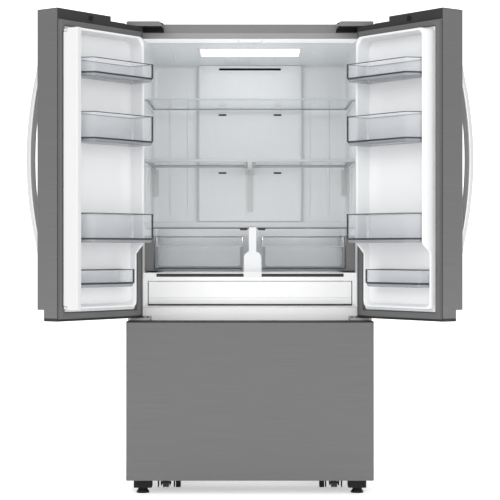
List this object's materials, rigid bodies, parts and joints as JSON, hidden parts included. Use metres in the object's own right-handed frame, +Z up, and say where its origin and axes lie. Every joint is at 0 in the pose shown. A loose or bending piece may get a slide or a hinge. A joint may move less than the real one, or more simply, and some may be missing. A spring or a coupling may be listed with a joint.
{
  "type": "french door refrigerator",
  "caption": "French door refrigerator with two glass-shelved doors open wide, bowed bar handles, crispers, pantry drawer and a bottom freezer drawer.",
  "frame": {"origin": "middle of the open refrigerator's footprint, on the floor", "axes": "+Z up, -Y out of the front towards the user, +X to the right seen from the front"},
  "size_m": [1.5924, 1.2044, 1.756],
  "materials": {
    "stainless": "satin",
    "handle_steel": "satin",
    "gray_paint": "satin",
    "galvanized": "satin",
    "dark_plastic": "matte",
    "black_metal": "satin",
    "gasket_rubber": "matte",
    "white_liner": "satin",
    "white_plastic": "satin",
    "gray_plastic": "satin",
    "insulation": "matte",
    "shelf_glass": "gloss",
    "clear_plastic": "gloss",
    "light_lens": "satin",
    "aluminium_fins": "satin",
    "compressor_black": "gloss",
    "fan_plastic": "matte",
    "roller_plastic": "satin"
  },
  "bodies": {
    "cabinet": {"cabinet_shell": "gray_paint", "cabinet_foam": "insulation", "back_panel": "galvanized", "machine_cover": "galvanized", "base_frame": "black_metal", "fresh_food_liner": "white_liner", "freezer_liner": "white_liner", "center_rail": "white_plastic", "duct_cover": "white_plastic", "ceiling_light": "light_lens", "mullion_guide": "white_plastic", "shelf_ladders": "galvanized", "shelf_glass": "shelf_glass", "shelf_frames": "white_plastic", "crisper_center_support": "white_plastic", "crisper_side_rails": "gray_plastic", "pantry_cover": "white_plastic", "upper_hinges": "black_metal", "hinge_covers": "gray_plastic", "middle_hinges": "galvanized", "compressor": "compressor_black", "condenser": "black_metal", "evaporator": "aluminium_fins", "drip_pan": "dark_plastic", "freezer_rails": "galvanized"},
    "left_door": {"left_door_skin": "stainless", "left_door_foam": "insulation", "left_door_end_caps": "dark_plastic", "left_door_gasket": "gasket_rubber", "left_door_liner": "white_liner", "left_door_handle": "handle_steel", "left_door_upper_bins": "clear_plastic", "left_door_lower_bins": "clear_plastic"},
    "left_leg": {"left_leveling_leg": "black_metal"},
    "left_crisper_drawer": {"left_crisper": "clear_plastic"},
    "front_left_wheel": {"front_left_roller": "roller_plastic"},
    "rear_left_wheel": {"rear_left_roller": "roller_plastic"},
    "right_door": {"right_door_skin": "stainless", "right_door_foam": "insulation", "right_door_end_caps": "dark_plastic", "right_door_gasket": "gasket_rubber", "right_door_liner": "white_liner", "right_door_handle": "handle_steel", "right_door_upper_bins": "clear_plastic", "right_door_lower_bins": "clear_plastic"},
    "right_leg": {"right_leveling_leg": "black_metal"},
    "right_crisper_drawer": {"right_crisper": "clear_plastic"},
    "front_right_wheel": {"front_right_roller": "roller_plastic"},
    "rear_right_wheel": {"rear_right_roller": "roller_plastic"},
    "flap": {"mullion_flap": "white_plastic"},
    "pantry": {"pantry_drawer": "white_plastic"},
    "freezer_drawer": {"freezer_front_skin": "stainless", "freezer_front_foam": "insulation", "freezer_front_liner": "white_liner", "freezer_gasket": "gasket_rubber", "freezer_bin": "clear_plastic", "drawer_slides": "galvanized"},
    "basket": {"freezer_basket": "white_plastic"},
    "condenser_fan_rotor": {"condenser_fan": "fan_plastic"},
    "evaporator_fan_rotor": {"evaporator_fan": "fan_plastic"}
  },
  "joints": [
    {"name": "right_door_hinge", "type": "hinge", "parent": "cabinet", "child": "right_door", "pos_m": [0.436, -0.193, 1.2], "axis": [0, 0, 1], "range_deg": [-127.5, 7.5]},
    {"name": "left_door_hinge", "type": "hinge", "parent": "cabinet", "child": "left_door", "pos_m": [-0.436, -0.193, 1.2], "axis": [0, 0, -1], "range_deg": [-127.5, 7.5]},
    {"name": "flap_hinge", "type": "hinge", "parent": "left_door", "child": "flap", "pos_m": [-0.63781, -0.5562, 1.18], "axis": [0, 0, 1], "range_deg": [-90, 0]},
    {"name": "left_crisper_slide", "type": "slide", "parent": "cabinet", "child": "left_crisper_drawer", "axis": [0, -1, 0], "range_m": [0, 0.3]},
    {"name": "right_crisper_slide", "type": "slide", "parent": "cabinet", "child": "right_crisper_drawer", "axis": [0, -1, 0], "range_m": [0, 0.3]},
    {"name": "pantry_slide", "type": "slide", "parent": "cabinet", "child": "pantry", "axis": [0, -1, 0], "range_m": [0, 0.3]},
    {"name": "freezer_drawer_slide", "type": "slide", "parent": "cabinet", "child": "freezer_drawer", "axis": [0, -1, 0], "range_m": [0, 0.4]},
    {"name": "basket_slide", "type": "slide", "parent": "freezer_drawer", "child": "basket", "axis": [0, 1, 0], "range_m": [0, 0.12]},
    {"name": "left_leg_screw", "type": "slide", "parent": "cabinet", "child": "left_leg", "axis": [0, 0, -1], "range_m": [0, 0.015]},
    {"name": "right_leg_screw", "type": "slide", "parent": "cabinet", "child": "right_leg", "axis": [0, 0, -1], "range_m": [0, 0.015]},
    {"name": "condenser_fan_spin", "type": "hinge", "parent": "cabinet", "child": "condenser_fan_rotor", "pos_m": [-0.15, 0.467, 0.15], "axis": [1, 0, 0], "continuous": true},
    {"name": "evaporator_fan_spin", "type": "hinge", "parent": "cabinet", "child": "evaporator_fan_rotor", "pos_m": [0, 0.427, 0.544], "axis": [0, 1, 0], "continuous": true},
    {"name": "front_left_roller_spin", "type": "hinge", "parent": "cabinet", "child": "front_left_wheel", "pos_m": [-0.3175, -0.064, 0.0195], "axis": [1, 0, 0], "continuous": true},
    {"name": "front_right_roller_spin", "type": "hinge", "parent": "cabinet", "child": "front_right_wheel", "pos_m": [0.3175, -0.064, 0.0195], "axis": [1, 0, 0], "continuous": true},
    {"name": "rear_left_roller_spin", "type": "hinge", "parent": "cabinet", "child": "rear_left_wheel", "pos_m": [-0.397, 0.547, 0.0184], "axis": [1, 0, 0], "continuous": true},
    {"name": "rear_right_roller_spin", "type": "hinge", "parent": "cabinet", "child": "rear_right_wheel", "pos_m": [0.397, 0.547, 0.0184], "axis": [1, 0, 0], "continuous": true}
  ]
}
